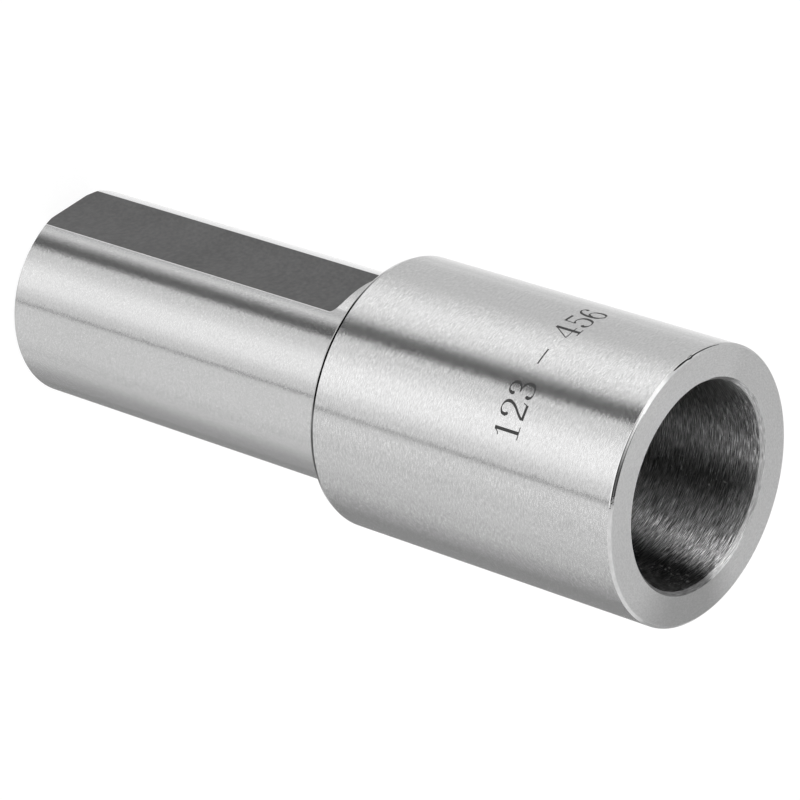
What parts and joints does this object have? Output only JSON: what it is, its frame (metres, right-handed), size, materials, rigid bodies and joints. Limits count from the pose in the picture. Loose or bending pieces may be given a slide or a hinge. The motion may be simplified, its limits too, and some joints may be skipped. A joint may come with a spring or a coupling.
{
  "type": "tool holder bushing",
  "caption": "Straight-shank steel sleeve with a clamping flat on the shank, a larger round head and a self-holding taper socket that runs down to a tang slot.",
  "frame": {"origin": "centre of the shank's end face, which is also the bottom centre of the part's box", "axes": "+Z along the turning axis from the shank to the socket's mouth; the clamping flat faces -Y; the tang slot is long along X"},
  "size_m": [0.032, 0.032, 0.092],
  "materials": {
    "ground_steel": "ground and finely brushed around the axis, the clamping flat milled and darker, the socket ground"
  },
  "bodies": {
    "root": {"sleeve": "ground_steel"}
  },
  "joints": []
}
